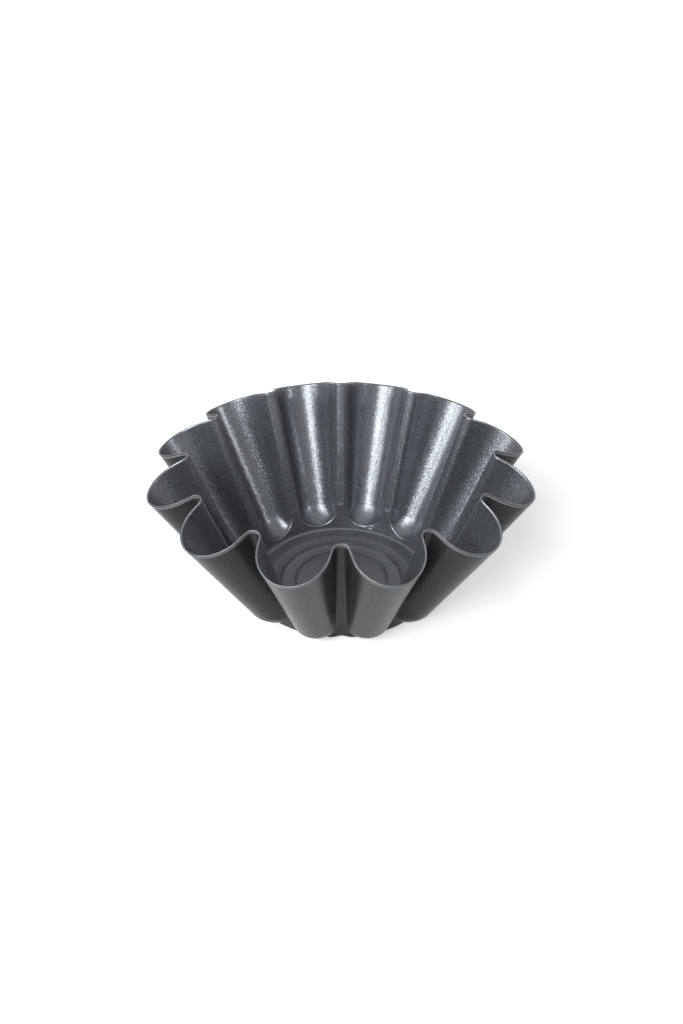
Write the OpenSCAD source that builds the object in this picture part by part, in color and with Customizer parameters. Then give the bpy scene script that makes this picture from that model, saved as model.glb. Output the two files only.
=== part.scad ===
// Fluted brioche mould, pressed from one round blank of coated sheet steel.
// Origin: centre of the face that the mould stands on. +Z up, millimetres.
// A crest, the ridge between two flutes, points along -Y and along +X.

/* [Rim] */
// Width over the tips of the flutes at the rim
rim_d = 220; // [180:1:260]
// Height of the rim at the tips of the flutes
tip_h = 78.1; // [62:0.1:90]
// How much higher the untrimmed rim stands on the crests than at the tips
rim_rise = 11.5; // [0:0.5:16]
// How early the rim climbs on its way from tip to crest, 0 for an even climb
rim_bow = 0.22; // [0:0.02:0.5]
// Depth of the flutes at the rim, from tip to crest
rim_depth = 23.2; // [18:0.2:27]
// Rounding of the crests' corners at the rim
rim_corner_r = 3.7; // [2.5:0.1:5]
// Half the width of the flat strip along each crest, at the rim
rim_strip = 0.3; // [0.2:0.05:1.5]

/* [Flutes] */
// Number of flutes
flutes = 12; // [10:2:14]
// Width over the flutes where their walls end and their round ends begin
foot_d = 136.8; // [128:0.2:150]
// Height at which the walls end at the flutes' tips
foot_h = 11.4; // [9:0.1:14]
// Depth of the flutes there, from tip to crest
foot_depth = 10.2; // [8:0.1:11.6]
// Rounding of the crests' corners there
foot_corner_r = 1.6; // [1:0.1:3]
// Half the width of the flat strip along each crest, at the foot
foot_strip = 2; // [1:0.1:3]
// Gap that a straight wall bridges between a flute's arc and a corner's arc
side_gap = 0.4; // [0.2:0.1:1]
// Height of the lowest point of the fold that a flute's round end opens through
fold_low_h = 2.4; // [2:0.05:4]
// Height at which the two sides of that U-shaped fold begin
fold_top_h = 14.6; // [12:0.1:20]
// How much the fold closes in on its way down, 1 for not at all
fold_closing = 0.97; // [0.9:0.01:1]
// How far above the fold's sides the walls end there
fold_margin = 3; // [2:0.1:5]
// Fullness of the round ends
end_fullness = 0.25; // [0.15:0.01:0.35]

/* [Base] */
// Width over the corner between the wall and the ledge under it
ledge_d = 110.4; // [109:0.2:113]
// Height of the ledge's underside
ledge_h = 1; // [0.8:0.05:1.4]
// Radius at which the ledge ends and steps down to the floor
step_r = 52.7; // [50:0.1:53]
// Width of that step, measured along the radius
step_w = 1.1; // [0.6:0.1:2]
// Outer radius of the outer one of two pressed channels
channel_r = 44.4; // [42:0.1:47]
// Radius of the ridge between the two channels
ridge_r = 35.7; // [33.5:0.1:37]
// Radius of the flat panel in the middle
panel_r = 27; // [20:0.2:28.5]
// Depth of the channels, which the mould stands on
channel_depth = 0.5; // [0.3:0.05:0.7]
// Width of a channel's flat bottom
channel_floor_w = 2.5; // [1:0.1:3.5]

/* [Sheet] */
// Thickness of the steel
sheet_t = 0.6; // [0.4:0.05:1]
// Thickness of the coat outside
outer_coat_t = 0.1; // [0.05:0.01:0.2]
// Thickness of the non-stick lining
lining_t = 0.1; // [0.05:0.01:0.2]

/* [Hidden] */

rim_r = rim_d / 2;
foot_r = foot_d / 2;
ledge_r = ledge_d / 2;
pitch = 360 / flutes;
half_pitch = pitch / 2;
// A crest points along -Y
first_crest = -90;

// Segments of half a flute's arc, of a corner's arc, and rows of a round end
flute_segments = 3;
corner_segments = 2;
end_rows = 3;
half_points = flute_segments + corner_segments + 2;
ring_points = flutes * (2 * half_points - 1);
// The floor has one point for each of these points of the wall
floor_share = flutes % 4 == 0 ? 4 : 2;
floor_points = ring_points / floor_share;

function unit(v) = v / norm(v);
function polar(r, a) = [r * cos(a), r * sin(a)];
function mix(a, b, t) = a + (b - a) * t;
function at_height(p, z) = [p[0], p[1], z];
function plan(p) = [p[0], p[1]];

// Outline of the flutes, for half a flute in a frame whose X axis runs through its tip

// Radius of the arc that has its tip at tip_r and leaves a gap to the corner's arc
function flute_radius(tip_r, corner, corner_r) =
    let (along = corner[0] - tip_r)
    let (reach = corner_r + side_gap)
    (along * along + corner[1] * corner[1] - reach * reach) / (2 * (reach - along));

// From the flute's tip along its arc, then along the corner's arc to the crest's strip
function half_flute(tip_r, depth, corner_r, strip) =
    let (crest = polar(1, half_pitch))
    let (corner = (tip_r - depth + corner_r) * crest + strip * [crest[1], -crest[0]])
    let (r = flute_radius(tip_r, corner, corner_r))
    let (centre = [tip_r - r, 0])
    let (between = corner - centre)
    let (turn = atan2(between[1], between[0]) - acos((r + corner_r) / norm(between)))
    [
        for (i = [0:flute_segments])
            centre + polar(r, turn * i / flute_segments),
        for (i = [0:corner_segments])
            corner + polar(corner_r, mix(turn, half_pitch, i / corner_segments) + 180)
    ];

// A whole ring from half a flute: mirrored, and turned to each flute's place
function ring(half) = [
    for (k = [0:flutes - 1])
        let (a = first_crest + half_pitch + pitch * k)
        let (x = [cos(a), sin(a), 0])
        let (y = [-sin(a), cos(a), 0])
        for (i = [1 - half_points:half_points - 1])
            let (p = half[abs(i)])
            p[0] * x + sign(i) * p[1] * y + [0, 0, p[2]]
];

// Rows of half a flute on the outer skin, from the rim to the ledge's corner

// The blank was round, so the rim climbs where the sheet is drawn in
function rim_height(p) =
    let (inward = (rim_r - norm(p)) / rim_depth)
    tip_h + rim_rise * inward * (1 + rim_bow - rim_bow * inward);

half_rim = [
    for (p = half_flute(rim_r, rim_depth, rim_corner_r, rim_strip))
        at_height(p, rim_height(p))
];
foot_plan = half_flute(foot_r, foot_depth, foot_corner_r, foot_strip);
last_point = half_points - 1;

// How far a point is on the way from a flute's middle to its side, and how far the fold climbs
function aside(i) = foot_plan[i][1] / foot_plan[last_point][1];
function climb(i) = 1 - sqrt(1 - aside(i) * aside(i));

half_foot = [
    for (i = [0:last_point])
        let (p = at_height(foot_plan[i], foot_h))
        let (ruling = half_rim[i] - p)
        p + ruling * (fold_top_h + fold_margin - foot_h) * climb(i) / ruling[2]
];

// The crests' strips lie on one cone, and the fold runs along that cone
crest_r = foot_r - foot_depth;
function cone_radius(z) = mix(ledge_r, crest_r, (z - ledge_h) / (foot_h - ledge_h));

half_fold = [
    for (i = [0:last_point])
        let (z = mix(fold_low_h, fold_top_h, climb(i)))
        let (a = asin(fold_closing * half_foot[i][1] / cone_radius(z)))
        at_height(polar(cone_radius(z), a), z)
];
half_ledge = [
    for (p = half_fold)
        at_height(unit(plan(p)) * ledge_r, ledge_h)
];

// A round end leaves along the wall and comes in level, or along the cone at its sides
function round_end(i, t) =
    let (start = half_foot[i])
    let (finish = half_fold[i])
    let (handle = end_fullness * norm(finish - start))
    let (level = at_height(unit(plan(finish)), 0))
    let (leave = unit(mix(level, unit(finish - half_ledge[i]), pow(aside(i), 6))))
    let (s = 1 - t)
    s * s * s * start
    + 3 * s * s * t * (start + handle * unit(start - half_rim[i]))
    + 3 * s * t * t * (finish + handle * leave)
    + t * t * t * finish;

wall_rows = [
    ring(half_rim),
    ring(half_foot),
    for (k = [1:end_rows - 1])
        ring([for (i = [0:last_point]) round_end(i, k / end_rows)]),
    ring(half_fold),
    ring(half_ledge)
];

// Rings of the floor, radius and height, from the ledge to the panel

// The rings across one channel, from its outer edge to the end of its flat bottom
function channel(outer_r, inner_r) =
    let (slope_w = (outer_r - inner_r - channel_floor_w) / 2)
    [
        [outer_r, channel_depth],
        [outer_r - slope_w, 0],
        [inner_r + slope_w, 0]
    ];

floor_rings = [
    [step_r, ledge_h],
    [step_r - step_w, channel_depth],
    each channel(channel_r, ridge_r),
    each channel(ridge_r, panel_r),
    [panel_r, channel_depth]
];

// Skins at a depth below the outer one

function wrap(i) = (i + ring_points) % ring_points;
function face_normal(side, up) = unit(cross(up, side));

// Shift that keeps a bent sheet's thickness on both sides of the bend
function bend_shift(n1, n2) = (n1 + n2) / (1 + n1 * n2);

last_row = len(wall_rows) - 1;
under_ledge = [
    for (p = wall_rows[last_row])
        at_height(unit(plan(p)) * step_r, ledge_h)
];

function wall_shift(j, i) =
    let (side = wall_rows[j][wrap(i + 1)] - wall_rows[j][wrap(i - 1)])
    let (here = wall_rows[j][i])
    let (above = j == 0 ? here : wall_rows[j - 1][i])
    let (below = j == last_row ? under_ledge[i] : wall_rows[j + 1][i])
    let (n2 = face_normal(side, here - below))
    let (n1 = j == 0 ? n2 : face_normal(side, above - here))
    bend_shift(n1, n2);

function floor_normal(inner, outer) = unit([inner[1] - outer[1], outer[0] - inner[0]]);

function floor_shift(k) =
    let (here = floor_rings[k])
    let (outer = k == 0 ? here + [1, 0] : floor_rings[k - 1])
    let (inner = k == len(floor_rings) - 1 ? here - [1, 0] : floor_rings[k + 1])
    bend_shift(floor_normal(here, outer), floor_normal(inner, here));

wall_shifts = [
    for (j = [0:last_row])
        [for (i = [0:ring_points - 1]) wall_shift(j, i)]
];

function skin(depth) = [
    for (j = [0:last_row])
        for (i = [0:ring_points - 1])
            wall_rows[j][i] + depth * wall_shifts[j][i],
    for (k = [0:len(floor_rings) - 1])
        let (p = floor_rings[k] + depth * floor_shift(k))
        for (i = [0:floor_points - 1])
            at_height(polar(p[0], first_crest + 360 * i / floor_points), p[1]),
    [0, 0, channel_depth + depth]
];

// Faces of a skin, seen from outside

function quad(a, b, c, d) = [[a, b, c], [a, c, d]];

function band(first, second, count) = [
    for (i = [0:count - 1])
        let (n = (i + 1) % count)
        each quad(first + i, second + i, second + n, first + n)
];

floor_first = (last_row + 1) * ring_points;
panel_first = floor_first + (len(floor_rings) - 1) * floor_points;
skin_points = panel_first + floor_points + 1;

// The wall's last row has more points than the floor's first ring
function ledge() = [
    for (i = [0:floor_points - 1])
        let (corner = floor_first + i)
        let (next_corner = floor_first + (i + 1) % floor_points)
        let (edge = last_row * ring_points + i * floor_share)
        let (next_edge = last_row * ring_points + (i + 1) % floor_points * floor_share)
        let (turn_at = floor_share / 2)
        each [
            for (s = [0:floor_share - 1])
                [
                    edge + s,
                    s < turn_at ? corner : next_corner,
                    s == floor_share - 1 ? next_edge : edge + s + 1
                ],
            [edge + turn_at, corner, next_corner]
        ]
];

skin_faces = [
    for (j = [0:last_row - 1])
        each band(j * ring_points, (j + 1) * ring_points, ring_points),
    each ledge(),
    for (k = [0:len(floor_rings) - 2])
        each band(
            floor_first + k * floor_points,
            floor_first + (k + 1) * floor_points,
            floor_points
        ),
    for (i = [0:floor_points - 1])
        [panel_first + i, skin_points - 1, panel_first + (i + 1) % floor_points]
];

// A sheet between two depths, closed along the cut edge of the rim
module layer(outer_depth, inner_depth) {
    inner_faces = [for (f = skin_faces) [f[2], f[1], f[0]] + skin_points * [1, 1, 1]];
    polyhedron(
        concat(skin(outer_depth), skin(inner_depth)),
        [
            for (f = concat(skin_faces, inner_faces)) [f[2], f[1], f[0]],
            for (f = band(0, skin_points, ring_points)) f
        ],
        convexity = 12
    );
}

module steel_shell() {
    color([0.66, 0.67, 0.69])
        layer(outer_coat_t, outer_coat_t + sheet_t);
}

module outer_coat() {
    color([0.38, 0.38, 0.38])
        layer(0, outer_coat_t);
}

module nonstick_lining() {
    color([0.29, 0.31, 0.34])
        layer(outer_coat_t + sheet_t, outer_coat_t + sheet_t + lining_t);
}

steel_shell();
outer_coat();
nonstick_lining();
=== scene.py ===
# %% [markdown]
# # A fluted brioche mould
#
# The real mould is one round blank of thin steel, coated on both sides and then pressed: twelve round
# flutes fan out from a flat ringed base, and the rim is left as the press drew it. This lesson dresses
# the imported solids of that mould. Each of its three layers, the steel, the non-stick lining and the coat
# outside, becomes a smooth modelled sheet with a finish of its own.
#
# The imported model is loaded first, because every size is either read from it or set against it.

import math

import bmesh
import bpy
from mathutils import Matrix, Vector, noise


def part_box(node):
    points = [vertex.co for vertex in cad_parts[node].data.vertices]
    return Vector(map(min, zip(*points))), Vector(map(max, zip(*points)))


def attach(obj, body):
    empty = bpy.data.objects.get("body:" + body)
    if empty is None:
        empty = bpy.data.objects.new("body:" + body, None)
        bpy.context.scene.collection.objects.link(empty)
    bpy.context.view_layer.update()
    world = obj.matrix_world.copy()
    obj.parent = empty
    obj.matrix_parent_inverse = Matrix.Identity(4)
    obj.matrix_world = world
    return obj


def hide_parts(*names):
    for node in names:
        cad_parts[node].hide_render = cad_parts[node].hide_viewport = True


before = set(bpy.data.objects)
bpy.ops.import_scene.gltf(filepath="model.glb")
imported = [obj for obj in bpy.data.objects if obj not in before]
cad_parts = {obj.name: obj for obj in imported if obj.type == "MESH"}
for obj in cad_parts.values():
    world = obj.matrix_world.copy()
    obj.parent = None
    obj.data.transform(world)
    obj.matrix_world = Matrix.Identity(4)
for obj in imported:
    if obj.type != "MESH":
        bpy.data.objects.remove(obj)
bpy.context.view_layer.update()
MM = 0.001

# %% [markdown]
# ## The camera
#
# A product photograph is matched by its camera before anything is modelled, because a wrong lens bends
# every shape seen through it. It could be placed by eye, but the mould's rim is a known curve, so its outline
# in the picture fixes where the camera stood: about 34 degrees above the rim's plane and 0.62 metres away.
# A crest of the wall points at the camera. Its distance and its aim are shares of the rim's radius.

# %% Place the camera
RIM_ZONE = 0.8

CREST_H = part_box("outer_coat")[1].z
coat_points = [v.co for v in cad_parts["outer_coat"].data.vertices]
tip = max([p for p in coat_points if p.z > RIM_ZONE * CREST_H], key=lambda p: p.xy.length)
RIM_R = tip.xy.length
TIP_H = tip.z
print(f"Rim radius {RIM_R / MM:.2f} mm, tips at {TIP_H / MM:.2f} mm, crests at {CREST_H / MM:.2f} mm")

VIEW_ELEVATION = math.radians(34.08)
VIEW_ROLL = -0.0038
VIEW_DISTANCE = 5.651 * RIM_R
LOOK_ASIDE = 0.0025 * RIM_R
LOOK_BELOW_TIP = 0.2547 * RIM_R
PHOTO_HEIGHT_PX = 1024
FOCAL_PX = 1065.4
SENSOR_WIDTH_MM = 36

look_at = Vector((LOOK_ASIDE, 0, TIP_H - LOOK_BELOW_TIP))
towards_camera = Vector((0, -math.cos(VIEW_ELEVATION), math.sin(VIEW_ELEVATION)))
camera_data = bpy.data.cameras.new("camera")
camera = bpy.data.objects.new("camera", camera_data)
bpy.context.scene.collection.objects.link(camera)
camera_data.sensor_width = SENSOR_WIDTH_MM
camera_data.lens = FOCAL_PX / PHOTO_HEIGHT_PX * SENSOR_WIDTH_MM
camera.location = look_at + VIEW_DISTANCE * towards_camera
turn = towards_camera.to_track_quat("Z", "Y")
camera.rotation_mode = "QUATERNION"
camera.rotation_quaternion = turn @ Matrix.Rotation(VIEW_ROLL, 3, "Z").to_quaternion()
bpy.context.scene.camera = camera
print(f"Camera {VIEW_DISTANCE:.3f} m away, lens {camera_data.lens:.2f} mm")

# %% [markdown]
# ## The outline of the flutes
#
# Seen from above, half a flute is a wide arc round the flute, a short straight side, a tight arc round the
# corner and half of the crest's strip. The side crosses a small gap between the circles of the two arcs and
# touches both, so the wide arc's radius isn't chosen but follows from the other sizes. The outline could be
# drawn as a curve by hand, but worked out like this it stays smooth and regular when a size changes.

# %% Half a flute in plan
FLUTES = 12
HALF_PITCH = math.pi / FLUTES
FIRST_CREST = -math.pi / 2
FLUTE_COLUMNS = 13
CORNER_COLUMNS = 7
STRIP_COLUMNS = 3
COLUMNS = FLUTE_COLUMNS + 1 + CORNER_COLUMNS + STRIP_COLUMNS
SIDE_GAP = 0.4 * MM


def polar(radius, angle):
    return Vector((radius * math.cos(angle), radius * math.sin(angle)))


def half_flute(tip_radius, depth, corner_radius, strip):
    """Points from a flute's tip to the crest beside it, in a frame whose X axis runs through the tip."""
    crest_line = polar(1, HALF_PITCH)
    along_strip = Vector((crest_line.y, -crest_line.x))
    corner_centre = crest_line * (tip_radius - depth + corner_radius) + along_strip * strip
    along = corner_centre.x - tip_radius
    reach = corner_radius + SIDE_GAP
    radius = (along ** 2 + corner_centre.y ** 2 - reach ** 2) / (2 * (reach - along))
    centre = Vector((tip_radius - radius, 0))
    between = corner_centre - centre
    turn = math.atan2(between.y, between.x) - math.acos((radius + corner_radius) / between.length)
    points = [centre + polar(radius, turn * i / FLUTE_COLUMNS) for i in range(FLUTE_COLUMNS + 1)]
    for i in range(CORNER_COLUMNS + 1):
        angle = turn + (HALF_PITCH - turn) * i / CORNER_COLUMNS + math.pi
        points.append(corner_centre + polar(corner_radius, angle))
    crest = crest_line * (tip_radius - depth)
    corner_end = points[-1]
    points += [corner_end.lerp(crest, i / STRIP_COLUMNS) for i in range(1, STRIP_COLUMNS + 1)]
    return points


RIM_DEPTH = 23.2 * MM
RIM_CORNER_R = 3.7 * MM
RIM_STRIP = 0.3 * MM
rim_plan = half_flute(RIM_R, RIM_DEPTH, RIM_CORNER_R, RIM_STRIP)
print("Half a flute:", len(rim_plan), "points, crest at", round(rim_plan[-1].length / MM, 2), "mm")

# %% [markdown]
# ## The key lines of the wall
#
# The wall is ruled: straight lines run from the rim down to the flutes' feet. The crests' strips lie on one
# cone and run straight into the base. Each flute ends in a round pocket instead, and the pocket's mouth
# opens on that cone along a U-shaped fold.
#
# Four points per column hold all of that: on the rim, at the foot of the wall, on the fold and on the base.
# Sculpting could give the same shape, but here a fold moves when its one height is changed.
#
# A fold is a little narrower than the pocket above it, so that the pocket's sides draw in towards its mouth.
#
# The rim isn't trimmed. The blank was round, and where the press drew the sheet inwards for a crest, more
# of it was left standing, so the rim climbs from the tips to the crests.

# %% Sizes of the wall
FOOT_R = 68.4 * MM
FOOT_DEPTH = 10.2 * MM
FOOT_CORNER_R = 1.6 * MM
FOOT_STRIP = 2 * MM
FOOT_BELOW_TIP = 66.7 * MM
FOLD_LOW_BELOW_TIP = 75.5 * MM
FOLD_TOP_BELOW_TIP = 63.5 * MM
FOLD_MARGIN = 3 * MM
FOLD_NARROWING = 0.97
LEDGE_BELOW_TIP = 76.8 * MM
LEDGE_R = 55.2 * MM
RIM_RISE = CREST_H - TIP_H
RIM_BOW = 0.22
FOOT_H = TIP_H - FOOT_BELOW_TIP
FOLD_LOW_H = TIP_H - FOLD_LOW_BELOW_TIP
FOLD_TOP_H = TIP_H - FOLD_TOP_BELOW_TIP
LEDGE_H = TIP_H - LEDGE_BELOW_TIP
foot_plan = half_flute(FOOT_R, FOOT_DEPTH, FOOT_CORNER_R, FOOT_STRIP)
CONE_SLOPE = (foot_plan[-1].length - LEDGE_R) / (FOOT_H - LEDGE_H)
print("Foot at", round(FOOT_H / MM, 2), "mm, fold from", round(FOLD_LOW_H / MM, 2), "mm up")

# %% Key points of every column
rim = []
for point in rim_plan:
    inward = (RIM_R - point.length) / RIM_DEPTH
    height = TIP_H + RIM_RISE * inward * (1 + RIM_BOW - RIM_BOW * inward)
    rim.append(point.to_3d() + Vector((0, 0, height)))

half_fold = foot_plan[FLUTE_COLUMNS + 1 + CORNER_COLUMNS].y
foot = []
fold = []
base = []
for i, point in enumerate(foot_plan):
    aside = min(1, point.y / half_fold)
    climb = 1 - math.sqrt(1 - aside ** 2)
    foot_point = point.to_3d() + Vector((0, 0, FOOT_H))
    ruling = rim[i] - foot_point
    foot_point += ruling * ((FOLD_TOP_H + FOLD_MARGIN - FOOT_H) * climb / ruling.z)
    fold_h = FOLD_LOW_H + (FOLD_TOP_H - FOLD_LOW_H) * climb
    fold_r = LEDGE_R + CONE_SLOPE * (fold_h - LEDGE_H)
    angle = math.atan2(foot_point.y, foot_point.x)
    if aside < 1:
        angle = math.asin(foot_point.y * FOLD_NARROWING / fold_r)
    foot.append(foot_point)
    fold.append(polar(fold_r, angle).to_3d() + Vector((0, 0, fold_h)))
    base.append(polar(LEDGE_R, angle).to_3d() + Vector((0, 0, LEDGE_H)))
print("Key points:", len(rim), "on the rim and as many at the foot, on the fold and on the base")

# %% [markdown]
# ## Pressing the sheet
#
# A flat grid is pressed into half a flute the way the real sheet was: the operator makes the grid, and a
# loop only moves its points. Its columns run along the outline and its rows run down the wall. Each point
# also keeps its distance from the cut edge, which a finish reads later on. Mirror and spin then repeat the
# grid, so that all twelve flutes are the same.

# %% Rows and roundings of the sheet
WALL_ROWS = 20
END_ROWS = 13
FOLD_ROWS = 3
CONE_ROWS = 8
BASE_ROWS = 4
GRID_ROWS = WALL_ROWS + END_ROWS + FOLD_ROWS + CONE_ROWS + BASE_ROWS
EDGE_CLOSENESS = 1.4
WALL_HANDLE = 0.25
FOLD_HANDLE = 0.25
LEAVE_SHARPNESS = 6
FOLD_ROUND = 0.4 * MM
BASE_ROUND = 0.65 * MM
print("Grid:", COLUMNS, "columns by", GRID_ROWS, "rows")

# %% Where a point of the grid goes


def guided_curve(points, t):
    """A point on the smooth curve that the given points guide, found by blending neighbours down to one."""
    while len(points) > 1:
        points = [a.lerp(b, t) for a, b in zip(points, points[1:])]
    return points[0]


def towards(start, end, distance):
    return start + (end - start).normalized() * distance


def column_point(i, row):
    """Where the pressed sheet has its point in column i, counted in rows from the cut edge down."""
    top, wall_foot, mouth, low = rim[i], foot[i], fold[i], base[i]
    if row <= WALL_ROWS:
        return top.lerp(wall_foot, (row / WALL_ROWS) ** EDGE_CLOSENESS)
    row -= WALL_ROWS
    reach = (mouth - wall_foot).length
    outward = Vector((mouth.x, mouth.y, 0)).normalized()
    up_cone = (mouth - low).normalized()
    aside = min(1, foot_plan[i].y / half_fold)
    leave = outward.lerp(up_cone, aside ** LEAVE_SHARPNESS).normalized()
    pocket = [
        wall_foot,
        towards(wall_foot, wall_foot * 2 - top, WALL_HANDLE * reach),
        mouth + leave * (FOLD_HANDLE * reach),
        mouth,
    ]
    rounding = min(FOLD_ROUND, reach / 3)
    end_share = 1 - rounding / reach
    if row <= END_ROWS:
        return guided_curve(pocket, end_share * row / END_ROWS)
    row -= END_ROWS
    below_fold = towards(mouth, low, rounding)
    if row <= FOLD_ROWS:
        return guided_curve([guided_curve(pocket, end_share), mouth, below_fold], row / FOLD_ROWS)
    row -= FOLD_ROWS
    above_base = towards(low, mouth, BASE_ROUND)
    if row <= CONE_ROWS:
        return below_fold.lerp(above_base, row / CONE_ROWS)
    row -= CONE_ROWS
    inside_base = towards(low, Vector((0, 0, LEDGE_H)), BASE_ROUND)
    return guided_curve([above_base, low, inside_base], row / BASE_ROWS)


# %% Half a flute as a pressed grid
sheet = bmesh.new()
bmesh.ops.create_grid(sheet, x_segments=COLUMNS, y_segments=GRID_ROWS, size=0.5)
from_edge = sheet.verts.layers.float.new("from_edge")
for vertex in sheet.verts:
    column = round((vertex.co.x + 0.5) * COLUMNS)
    row = round((0.5 - vertex.co.y) * GRID_ROWS)
    vertex.co = column_point(column, row)
    vertex[from_edge] = (vertex.co - rim[column]).length
print("Pressed grid:", len(sheet.verts), "points")

# %% [markdown]
# Mirror copies the half across the plane through the flute's tip, and spin with use_duplicate sets eleven
# more copies round the axis. The doubles along the seams are merged, so the wall becomes one sheet.

# %% Repeat the half flute round the axis
MERGE_DISTANCE = 0.001 * MM

half_geometry = sheet.verts[:] + sheet.edges[:] + sheet.faces[:]
bmesh.ops.mirror(sheet, geom=half_geometry, axis="Y", merge_dist=MERGE_DISTANCE)
turn_to_first = Matrix.Rotation(FIRST_CREST + HALF_PITCH, 3, "Z")
bmesh.ops.rotate(sheet, verts=sheet.verts[:], matrix=turn_to_first)
bmesh.ops.spin(
    sheet,
    geom=sheet.verts[:] + sheet.edges[:] + sheet.faces[:],
    axis=(0, 0, 1),
    angle=2 * math.pi * (FLUTES - 1) / FLUTES,
    steps=FLUTES - 1,
    use_duplicate=True,
)
bmesh.ops.remove_doubles(sheet, verts=sheet.verts[:], dist=MERGE_DISTANCE)
print("Wall:", len(sheet.verts), "points,", len(sheet.faces), "faces")

# %% [markdown]
# ## The ringed floor
#
# The floor grows inwards from the wall's lower edge. Each pass of the loop extrudes the open edge by one
# ring and sets the ring's radius and height. Two round channels are pressed into the floor between the
# flat ring outside and the flat panel in the middle, each lowest near its inner edge. They stiffen the thin
# base. A turned profile would be simpler, but its points wouldn't meet the wall's. Here each ring starts
# from the wall's own points, and from ring to ring they are spread more evenly round the circle.

# %% Rings of the floor
CHANNELS = [(44.4 * MM, 35.9 * MM), (35.5 * MM, 27 * MM)]
CHANNEL_DEPTH = 0.6 * MM
CHANNEL_SEGMENTS = 10
CHANNEL_LOWEST = 0.8
FLOOR_H = CHANNEL_DEPTH
STEP_DOWN = LEDGE_H - FLOOR_H
PANEL_RINGS = [26 * MM, 16 * MM, 6 * MM]

# Each ring has its radius, its height above the floor and how evenly its points are spread.
floor_rings = [
    (53.1 * MM, STEP_DOWN, 0.3),
    (52.6 * MM, STEP_DOWN * 0.93, 0.4),
    (52.2 * MM, STEP_DOWN * 0.5, 0.5),
    (51.8 * MM, STEP_DOWN * 0.07, 0.6),
    (51.3 * MM, 0, 0.7),
    (48 * MM, 0, 0.9),
    (45.2 * MM, 0, 1),
]
for outer_r, inner_r in CHANNELS:
    for k in range(CHANNEL_SEGMENTS + 1):
        across = k / CHANNEL_SEGMENTS
        side = CHANNEL_LOWEST if across < CHANNEL_LOWEST else CHANNEL_LOWEST - 1
        sag = 1 - ((CHANNEL_LOWEST - across) / side) ** 2
        floor_rings.append((outer_r + (inner_r - outer_r) * across, -CHANNEL_DEPTH * sag, 1))
floor_rings += [(radius, 0, 1) for radius in PANEL_RINGS]
print(f"Floor: {len(floor_rings)} rings, the channels {CHANNEL_DEPTH / MM:.2f} mm deep")

# %% Extrude the floor ring by ring


def angle_of(vertex):
    return math.atan2(vertex.co.y, vertex.co.x)


open_edge = [e for e in sheet.edges if e.is_boundary and e.verts[0].co.z < FOOT_H]
for radius, height, evenness in floor_rings:
    grown = bmesh.ops.extrude_edge_only(sheet, edges=open_edge)["geom"]
    ring = sorted([g for g in grown if isinstance(g, bmesh.types.BMVert)], key=angle_of)
    open_edge = [g for g in grown if isinstance(g, bmesh.types.BMEdge)]
    for i, vertex in enumerate(ring):
        own_angle = angle_of(vertex)
        even_angle = 2 * math.pi * i / len(ring) - math.pi
        point = polar(radius, own_angle + (even_angle - own_angle) * evenness)
        vertex.co = (point.x, point.y, FLOOR_H + height)
bmesh.ops.contextual_create(sheet, geom=open_edge)
bmesh.ops.recalc_face_normals(sheet, faces=sheet.faces[:])
print("Wall and floor:", len(sheet.verts), "points")

# %% [markdown]
# ## Marks of the press
#
# A pressed sheet is never perfect. On this one the rim dips by half a millimetre towards the front left,
# the base's corner is drawn up a little under the front crest, and the metal has puckered between two of
# the flutes' ends and the ledge. Each mark is a small smooth move with a weight that fades to nothing, so
# no border shows. It is made before the sheet gets its thickness, so that all three layers follow it.

# %% Sizes of the marks
DIP = 0.5 * MM
DIP_TOWARDS = polar(1, math.radians(-120))
DRAWN_UP = 1.6 * MM
DRAWN_WIDTH = 3.6 * MM
PUCKER = 0.3 * MM
PUCKER_TOWARDS = math.radians(62)
PUCKER_SPREAD = math.radians(24)
PUCKER_WAVES = 420
PUCKER_SQUASH = 2.5
PUCKER_FULL = 0.6
WALL_FROM_R = 51.5 * MM
WALL_FULL_R = 55 * MM
LOW_FROM_H = 9 * MM
LOW_FULL_H = 2 * MM
print(f"Marks: dip {DIP / MM:.1f} mm, corner up {DRAWN_UP / MM:.1f} mm, puckers {PUCKER / MM:.1f} mm")

# %% Press the marks in


def fade(value, start, end):
    """0 at start, 1 at end and smooth between, also where the end lies below the start."""
    t = min(1, max(0, (value - start) / (end - start)))
    return t * t * (3 - 2 * t)


sheet.normal_update()
for vertex in sheet.verts:
    x, y, z = vertex.co
    radius = vertex.co.xy.length
    facing = 0.5 + 0.5 * vertex.co.xy.dot(DIP_TOWARDS) / max(radius, MM)
    near_wall = fade(radius, WALL_FROM_R, WALL_FULL_R)
    low = fade(z, LOW_FROM_H, LOW_FULL_H)
    drawn = DRAWN_UP * math.exp(-(x / DRAWN_WIDTH) ** 2) * near_wall * low if y < 0 else 0
    vertex.co.z += drawn - DIP * facing ** 2 * (z / CREST_H) ** 2
    off = abs(math.atan2(y, x) - PUCKER_TOWARDS) / PUCKER_SPREAD
    wave = noise.noise(Vector((x, y, PUCKER_SQUASH * z)) * PUCKER_WAVES)
    vertex.co += vertex.normal * (PUCKER * wave * near_wall * low * fade(off, 1, PUCKER_FULL))
sheet.normal_update()
rim_edges = len([e for e in sheet.edges if e.is_boundary])
print("Outer skin:", len(sheet.verts), "points,", rim_edges, "edges round the rim")

# %% [markdown]
# ## From a skin to layers
#
# Every layer lies between two known depths below the outer skin. The skin is copied, one copy is moved
# inwards to each depth, and the two open edges at the rim are bridged. All moves follow the outer skin's
# normals, so neighbouring layers meet exactly. The shell factor of a point says how much further a point
# on a bend has to move, so that the thickness stays even. Three Solidify modifiers could do this too, but
# each would work from normals of its own, and thin gaps or overlaps would open between the layers.

# %% Make one layer
COAT_T = 0.1 * MM
STEEL_T = 0.6 * MM
LINING_T = 0.1 * MM


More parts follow.
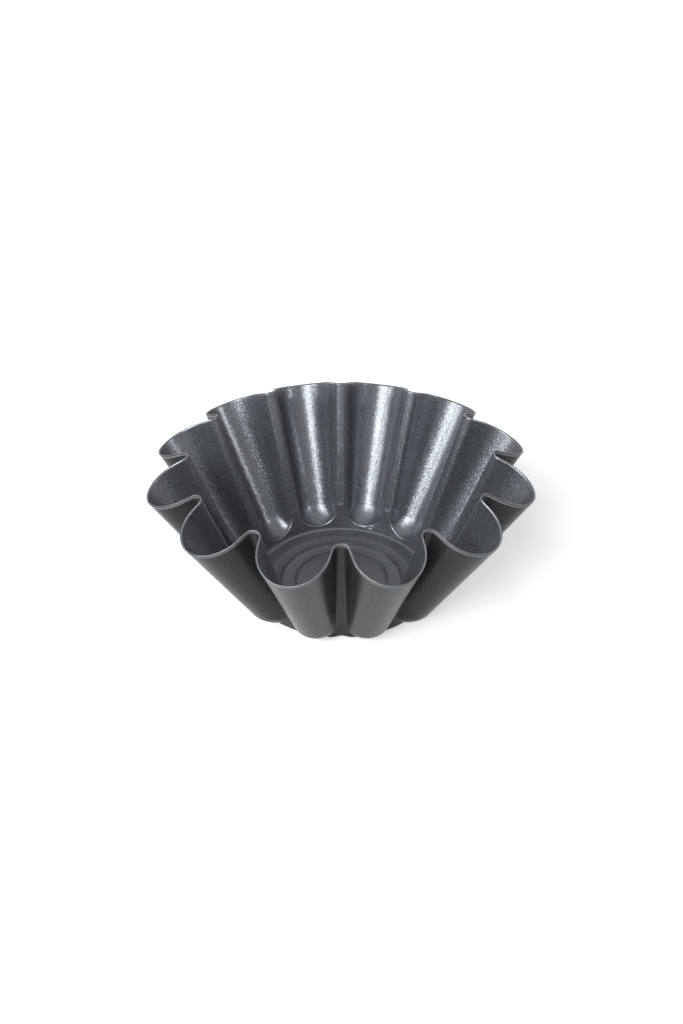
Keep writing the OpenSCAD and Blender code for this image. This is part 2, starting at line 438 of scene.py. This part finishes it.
def layer(name, outer_depth, inner_depth):
    """A closed sheet between two depths below the outer skin."""
    bm = sheet.copy()
    bm.normal_update()
    outer_points = bm.verts[:]
    inward = [vertex.normal * -vertex.calc_shell_factor() for vertex in outer_points]
    copied = bmesh.ops.duplicate(bm, geom=bm.verts[:] + bm.edges[:] + bm.faces[:])
    inner_faces = [g for g in copied["geom"] if isinstance(g, bmesh.types.BMFace)]
    bmesh.ops.reverse_faces(bm, faces=inner_faces)
    for vertex, move in zip(outer_points, inward):
        copied["vert_map"][vertex].co += move * inner_depth
        vertex.co += move * outer_depth
    bmesh.ops.bridge_loops(bm, edges=[e for e in bm.edges if e.is_boundary])
    bmesh.ops.triangulate(bm, faces=[f for f in bm.faces if len(f.verts) > 4])
    open_edges = len([e for e in bm.edges if not e.is_contiguous])
    mesh = bpy.data.meshes.new(name)
    bm.to_mesh(mesh)
    bm.free()
    for polygon in mesh.polygons:
        polygon.use_smooth = True
    piece = bpy.data.objects.new(name, mesh)
    bpy.context.scene.collection.objects.link(piece)
    print(name, len(mesh.vertices), "points,", len(mesh.polygons), "faces,", open_edges, "open edges")
    return piece


coat_piece = layer("outer_coat_sheet", 0, COAT_T)
steel_piece = layer("steel_sheet", COAT_T, COAT_T + STEEL_T)
lining_piece = layer("nonstick_sheet", COAT_T + STEEL_T, COAT_T + STEEL_T + LINING_T)

# %% [markdown]
# ## Flecks in the coats
#
# The lining is a dark resin full of fine metal flecks. Each fleck lies at its own small angle, so the coat
# sparkles in the streaks of light and stays even elsewhere. A Voronoi texture gives every cell a random
# colour, which is read here as that angle, and its green part also as the fleck's own brightness. Real
# flecks could be modelled, but at half a millimetre each there would be hundreds of thousands of them.

# %% Helpers for node groups


def new_group(name, inputs, outputs):
    group = bpy.data.node_groups.new(name, "ShaderNodeTree")
    for socket, kind, default in inputs:
        made = group.interface.new_socket(socket, in_out="INPUT", socket_type=kind)
        made.default_value = default
    for socket, kind in outputs:
        group.interface.new_socket(socket, in_out="OUTPUT", socket_type=kind)
    return group, group.nodes.new("NodeGroupInput").outputs, group.nodes.new("NodeGroupOutput").inputs


def feed(tree, socket, value):
    """Link the value in where it is another node's socket, and set it as a plain value otherwise."""
    if hasattr(value, "is_linked"):
        tree.links.new(value, socket)
    else:
        socket.default_value = value


def vector_math(tree, operation, a, b=None):
    node = tree.nodes.new("ShaderNodeVectorMath")
    node.operation = operation
    feed(tree, node.inputs[0], a)
    if b is not None:
        feed(tree, node.inputs["Scale"] if operation == "SCALE" else node.inputs[1], b)
    return node.outputs["Vector"]


# %% A node group for the flecks
flecks, fleck_in, fleck_out = new_group(
    "flecks",
    [("Size", "NodeSocketFloat", 1000), ("Tilt", "NodeSocketFloat", 0.1)],
    [("Brightness", "NodeSocketFloat"), ("Normal", "NodeSocketVector")],
)
place = flecks.nodes.new("ShaderNodeTexCoord")
cells = flecks.nodes.new("ShaderNodeTexVoronoi")
flecks.links.new(place.outputs["Object"], cells.inputs["Vector"])
flecks.links.new(fleck_in["Size"], cells.inputs["Scale"])
centred = vector_math(flecks, "SUBTRACT", cells.outputs["Color"], (0.5, 0.5, 0.5))
tilt = vector_math(flecks, "SCALE", centred, fleck_in["Tilt"])
surface = flecks.nodes.new("ShaderNodeNewGeometry")
tilted = vector_math(flecks, "ADD", tilt, surface.outputs["Normal"])
flecks.links.new(vector_math(flecks, "NORMALIZE", tilted), fleck_out["Normal"])
split = flecks.nodes.new("ShaderNodeSeparateColor")
flecks.links.new(cells.outputs["Color"], split.inputs["Color"])
flecks.links.new(split.outputs["Green"], fleck_out["Brightness"])
print("Group", flecks.name, "made")

# %% [markdown]
# ## Wear along the cut edge
#
# Where the blank was sheared, the coats are scuffed in narrow bands that follow the edge all the way round.
# The pressed grid already knows how far every point lies from that edge, so the band is read from this
# attribute. A little noise makes its borders uneven. A Bevel node could find sharp edges by itself, but it
# can't draw a band that starts at some distance from them.

# %% Helpers for numbers and noise


def math_node(tree, operation, a, b):
    node = tree.nodes.new("ShaderNodeMath")
    node.operation = operation
    feed(tree, node.inputs[0], a)
    feed(tree, node.inputs[1], b)
    return node.outputs["Value"]


def smooth_step(tree, value, start, end):
    """0 where the value is at start, 1 where it is at end, and smooth between."""
    node = tree.nodes.new("ShaderNodeMapRange")
    node.interpolation_type = "SMOOTHSTEP"
    feed(tree, node.inputs["Value"], value)
    feed(tree, node.inputs["From Min"], start)
    feed(tree, node.inputs["From Max"], end)
    return node.outputs["Result"]


def add_noise(tree, scale, detail):
    place = tree.nodes.new("ShaderNodeTexCoord")
    node = tree.nodes.new("ShaderNodeTexNoise")
    tree.links.new(place.outputs["Object"], node.inputs["Vector"])
    feed(tree, node.inputs["Scale"], scale)
    node.inputs["Detail"].default_value = detail
    return node.outputs["Fac"]


# %% A node group for a band along the edge
RAGGED_SCALE = 260

edge_band, band_in, band_out = new_group(
    "edge band",
    [
        ("Start", "NodeSocketFloat", 0.5 * MM),
        ("End", "NodeSocketFloat", 1.5 * MM),
        ("Softness", "NodeSocketFloat", 0.2 * MM),
        ("Unevenness", "NodeSocketFloat", 0.2 * MM),
    ],
    [("Mask", "NodeSocketFloat")],
)
from_edge_node = edge_band.nodes.new("ShaderNodeAttribute")
from_edge_node.attribute_name = "from_edge"
ragged = math_node(edge_band, "SUBTRACT", add_noise(edge_band, RAGGED_SCALE, detail=3), 0.5)
shift = math_node(edge_band, "MULTIPLY", ragged, band_in["Unevenness"])
distance = math_node(edge_band, "ADD", from_edge_node.outputs["Fac"], shift)
start_soft = math_node(edge_band, "ADD", band_in["Start"], band_in["Softness"])
end_soft = math_node(edge_band, "ADD", band_in["End"], band_in["Softness"])
rises = smooth_step(edge_band, distance, band_in["Start"], start_soft)
falls = smooth_step(edge_band, distance, band_in["End"], end_soft)
edge_band.links.new(math_node(edge_band, "SUBTRACT", rises, falls), band_out["Mask"])
print("Group", edge_band.name, "made")

# %% [markdown]
# ## Waviness
#
# Sprayed coats dry with a faint unevenness that bends reflections a little, and sheared steel isn't even
# either. One soft noise gives the height, and each finish sets its scale. A second, much larger noise puts
# out patches, where a coat is a little rougher or smoother. Moving the points instead would need a far
# finer mesh than the shape does.

# %% A node group for waviness
PATCH_SCALE = 26

waviness, wave_in, wave_out = new_group(
    "waviness",
    [("Scale", "NodeSocketFloat", 120)],
    [("Height", "NodeSocketFloat"), ("Patches", "NodeSocketFloat")],
)
waviness.links.new(add_noise(waviness, wave_in["Scale"], detail=2), wave_out["Height"])
waviness.links.new(add_noise(waviness, PATCH_SCALE, detail=2), wave_out["Patches"])
print("Group", waviness.name, "made")

# %% [markdown]
# ## The three finishes
#
# A finish starts from the Principled shader. Its plain numbers are set on its own sockets, and only what
# changes over the surface is linked in. Each material could be built node by node, but a few helpers keep
# the three of them short enough to compare.

# %% Helpers for finishes


def principled(name, colour, roughness, metallic):
    material = bpy.data.materials.new(name)
    material.use_nodes = True
    shader = material.node_tree.nodes["Principled BSDF"]
    shader.inputs["Base Color"].default_value = (*colour, 1)
    shader.inputs["Roughness"].default_value = roughness
    shader.inputs["Metallic"].default_value = metallic
    return material


def place_group(tree, group, **values):
    node = tree.nodes.new("ShaderNodeGroup")
    node.node_tree = group
    for socket, value in values.items():
        node.inputs[socket].default_value = value
    return node.outputs


def mix_colours(tree, factor, a, b):
    """A blend of two colours, each given as a linked socket or as three numbers."""
    mix = tree.nodes.new("ShaderNodeMix")
    mix.data_type = "RGBA"
    tree.links.new(factor, mix.inputs["Factor"])
    for socket, colour in ((mix.inputs["A"], a), (mix.inputs["B"], b)):
        feed(tree, socket, colour if hasattr(colour, "is_linked") else (*colour, 1))
    return mix.outputs["Result"]


def spread(tree, mask, low, high):
    """A number that goes from low to high as the mask goes from 0 to 1."""
    return math_node(tree, "ADD", math_node(tree, "MULTIPLY", mask, high - low), low)


def add_waves(tree, shader, scale, depth, normal):
    """Bend the shader's normal by a waviness of this depth in metres, on top of the given normal."""
    waves = place_group(tree, waviness, Scale=scale)
    bump = tree.nodes.new("ShaderNodeBump")
    bump.inputs["Distance"].default_value = depth
    tree.links.new(waves["Height"], bump.inputs["Height"])
    tree.links.new(normal, bump.inputs["Normal"])
    tree.links.new(bump.outputs["Normal"], shader.inputs["Normal"])
    return waves["Patches"]


# %% [markdown]
# The cut edge is bare steel, dulled by baking. The shear left it with fine marks, so a noise ranges both its
# brightness and its roughness, and the fleck group tilts the light from grain to grain. A bright even
# metal would be simpler, but it would draw a white line round the rim, where the real one is grey.

# %% Bare steel
STEEL_DARK = (0.1, 0.105, 0.115)
STEEL_MIDDLE = (0.16, 0.165, 0.18)
STEEL_LIGHT = (0.22, 0.225, 0.24)
SHEAR_SCALE = 900

steel = principled("bare steel", STEEL_MIDDLE, roughness=0.45, metallic=1)
tree = steel.node_tree
shader = tree.nodes["Principled BSDF"]
shear = add_noise(tree, SHEAR_SCALE, detail=4)
tree.links.new(mix_colours(tree, shear, STEEL_DARK, STEEL_LIGHT), shader.inputs["Base Color"])
tree.links.new(spread(tree, shear, low=0.36, high=0.56), shader.inputs["Roughness"])
grain = place_group(tree, flecks, Size=2500, Tilt=0.16)
add_waves(tree, shader, scale=500, depth=0.02 * MM, normal=grain["Normal"])
print("Made", steel.name)

# %% [markdown]
# The coat outside is a smooth, nearly black film that mirrors the pale floor softly, most where it is seen
# at a flat angle. That is why its greys aren't painted: a low IOR keeps the mirror weak, and the shape does
# the rest. A dark line lies right under the cut edge, and below it a lighter band with a sharp lower border
# runs round the whole rim.

# %% Outer coat
OUTER_DARK = (0.013, 0.013, 0.013)
OUTER_LIGHT = (0.026, 0.026, 0.0255)
BAND_COLOUR = (0.15, 0.153, 0.157)

outer = principled("outer coat", OUTER_LIGHT, roughness=0.3, metallic=0)
tree = outer.node_tree
shader = tree.nodes["Principled BSDF"]
shader.inputs["IOR"].default_value = 1.21
grain = place_group(tree, flecks, Size=1800, Tilt=0.03)
patches = add_waves(tree, shader, scale=150, depth=0.02 * MM, normal=grain["Normal"])
band_sizes = {"Start": 0.5 * MM, "End": 1.6 * MM, "Softness": 0.15 * MM, "Unevenness": 0.2 * MM}
band = place_group(tree, edge_band, **band_sizes)["Mask"]
coat = mix_colours(tree, grain["Brightness"], OUTER_DARK, OUTER_LIGHT)
tree.links.new(mix_colours(tree, band, coat, BAND_COLOUR), shader.inputs["Base Color"])
tree.links.new(spread(tree, patches, low=0.27, high=0.34), shader.inputs["Roughness"])
print("Made", outer.name)

# %% [markdown]
# The lining is blue-grey. Metal flecks lie in it near the surface, so it is partly metallic, and clear resin
# covers them, which is the shader's coat. A plain dark gloss would be simpler, but its streaks of light
# would be thin and hard. The scuff along its edge is a quarter of a millimetre wide. Its band starts before
# the edge, so that only the lower border shows.

# %% Non-stick lining
LINING_DARK = (0.056, 0.062, 0.071)
LINING_LIGHT = (0.132, 0.143, 0.16)
SCUFF_COLOUR = (0.2, 0.21, 0.22)

lining = principled("non-stick", LINING_LIGHT, roughness=0.3, metallic=0.58)
tree = lining.node_tree
shader = tree.nodes["Principled BSDF"]
shader.inputs["Coat Weight"].default_value = 0.55
shader.inputs["Coat Roughness"].default_value = 0.25
grain = place_group(tree, flecks, Size=2200, Tilt=0.18)
patches = add_waves(tree, shader, scale=200, depth=0.004 * MM, normal=grain["Normal"])
scuff_sizes = {"Start": -1 * MM, "End": 0.15 * MM, "Softness": 0.1 * MM, "Unevenness": 0.2 * MM}
scuff = place_group(tree, edge_band, **scuff_sizes)["Mask"]
film = mix_colours(tree, grain["Brightness"], LINING_DARK, LINING_LIGHT)
tree.links.new(mix_colours(tree, scuff, film, SCUFF_COLOUR), shader.inputs["Base Color"])
tree.links.new(spread(tree, patches, low=0.27, high=0.31), shader.inputs["Roughness"])
print("Made", lining.name)

# %% [markdown]
# ## Dressing the mould
#
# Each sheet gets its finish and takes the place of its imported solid. Nothing on a mould moves, so all three
# ride on the one body.

# %% Dress the pieces
for piece, material, node, slot in (
    (steel_piece, steel, "steel_shell", "bare_steel"),
    (coat_piece, outer, "outer_coat", "outer_coat"),
    (lining_piece, lining, "nonstick_lining", "nonstick"),
):
    piece.data.materials.append(material)
    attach(piece, "root")
    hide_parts(node)
    print(piece.name, "takes the place of", node)

# %% [markdown]
# ## The white ground
#
# The mould stands on plain white. White light from all sides would wash the dark coats out, so the
# backdrop is white only for the rays that look at it or mirror it, and much dimmer as a light.

# %% Backdrop
AMBIENT = 0.2
bpy.context.scene.view_settings.view_transform = "Standard"


def seen_directly(tree):
    """1 for camera, glossy and transmission rays, which are the ones that show the background."""
    path = tree.nodes.new("ShaderNodeLightPath")
    total = path.outputs["Is Camera Ray"]
    for ray in ("Is Glossy Ray", "Is Transmission Ray"):
        total = math_node(tree, "MAXIMUM", total, path.outputs[ray])
    return total


world = bpy.data.worlds.new("studio")
bpy.context.scene.world = world
world.use_nodes = True
world.cycles.sampling_method = "NONE"
world_tree = world.node_tree
backdrop = world_tree.nodes["Background"]
backdrop.inputs["Color"].default_value = (1, 1, 1, 1)
level = spread(world_tree, seen_directly(world_tree), AMBIENT, 1)
world_tree.links.new(level, backdrop.inputs["Strength"])
print("Backdrop: 1 where it is seen,", AMBIENT, "as a light")

# %% [markdown]
# The floor works the same way. Near the mould about half of its white is its own glow and the rest is light
# that falls on it, so a soft shadow stays. Further out the glow grows to full white, so that no horizon
# shows. A curved backdrop would hide the horizon as well, but not from every side.

# %% Floor
FLOOR_HALF_WIDTH = 3

studio_floor = bmesh.new()
bmesh.ops.create_grid(studio_floor, x_segments=1, y_segments=1, size=FLOOR_HALF_WIDTH)
floor_data = bpy.data.meshes.new("studio_floor")
studio_floor.to_mesh(floor_data)
studio_floor.free()
floor_object = bpy.data.objects.new("studio_floor", floor_data)
bpy.context.scene.collection.objects.link(floor_object)
print("Floor:", 2 * FLOOR_HALF_WIDTH, "m wide")

# %% Floor finish
FLOOR_WHITE = 0.8
GLOW_NEAR = 0.5
GLOW_FAR = 1
NEAR_R = 0.5
FAR_R = 1.2

floor_finish = principled("floor", (FLOOR_WHITE, FLOOR_WHITE, FLOOR_WHITE), roughness=0.9, metallic=0)
floor_finish.cycles.emission_sampling = "NONE"
floor_tree = floor_finish.node_tree
floor_shader = floor_tree.nodes["Principled BSDF"]
floor_shader.inputs["Specular IOR Level"].default_value = 0
floor_shader.inputs["Emission Color"].default_value = (1, 1, 1, 1)
floor_place = floor_tree.nodes.new("ShaderNodeTexCoord")
from_middle = floor_tree.nodes.new("ShaderNodeVectorMath")
from_middle.operation = "LENGTH"
floor_tree.links.new(floor_place.outputs["Object"], from_middle.inputs[0])
far = smooth_step(floor_tree, from_middle.outputs["Value"], NEAR_R, FAR_R)
glow = spread(floor_tree, far, GLOW_NEAR, GLOW_FAR)
glow_seen = math_node(floor_tree, "MULTIPLY", seen_directly(floor_tree), glow)
floor_tree.links.new(glow_seen, floor_shader.inputs["Emission Strength"])
floor_object.data.materials.append(floor_finish)
print("Floor glow:", GLOW_NEAR, "up to", NEAR_R, "m out and", GLOW_FAR, "from", FAR_R, "m")

# %% [markdown]
# ## The lamps
#
# A concave flute mirrors every lamp as one streak, and each round pocket mirrors it as one dot, so the
# streaks tell where the lamps stood. A large key lamp stands at the front left, a smaller one further left
# widens the streaks on the right-hand flutes, and a small one on the right draws the faint second streaks.
# A single huge lamp would be softer still, but its streaks would run together.

# %% Soft lamps
LAMP_DISTANCE = 1.6


def soft_lamp(name, azimuth, elevation, size, power):
    """A round lamp that faces the mould, from an azimuth and an elevation in degrees."""
    data = bpy.data.lights.new(name, "AREA")
    data.shape = "DISK"
    data.size = size
    data.energy = power
    lamp = bpy.data.objects.new(name, data)
    bpy.context.scene.collection.objects.link(lamp)
    level_part = polar(math.cos(math.radians(elevation)), math.radians(azimuth))
    direction = Vector((level_part.x, level_part.y, math.sin(math.radians(elevation))))
    lamp.location = direction * LAMP_DISTANCE
    lamp.rotation_mode = "QUATERNION"
    lamp.rotation_quaternion = direction.to_track_quat("Z", "Y")
    print("Lamp", name, "at", [round(c, 2) for c in lamp.location])


soft_lamp("key", azimuth=-117, elevation=42, size=0.95, power=28)
soft_lamp("right", azimuth=-15, elevation=32, size=0.12, power=4)
soft_lamp("left", azimuth=-155, elevation=35, size=0.7, power=12)
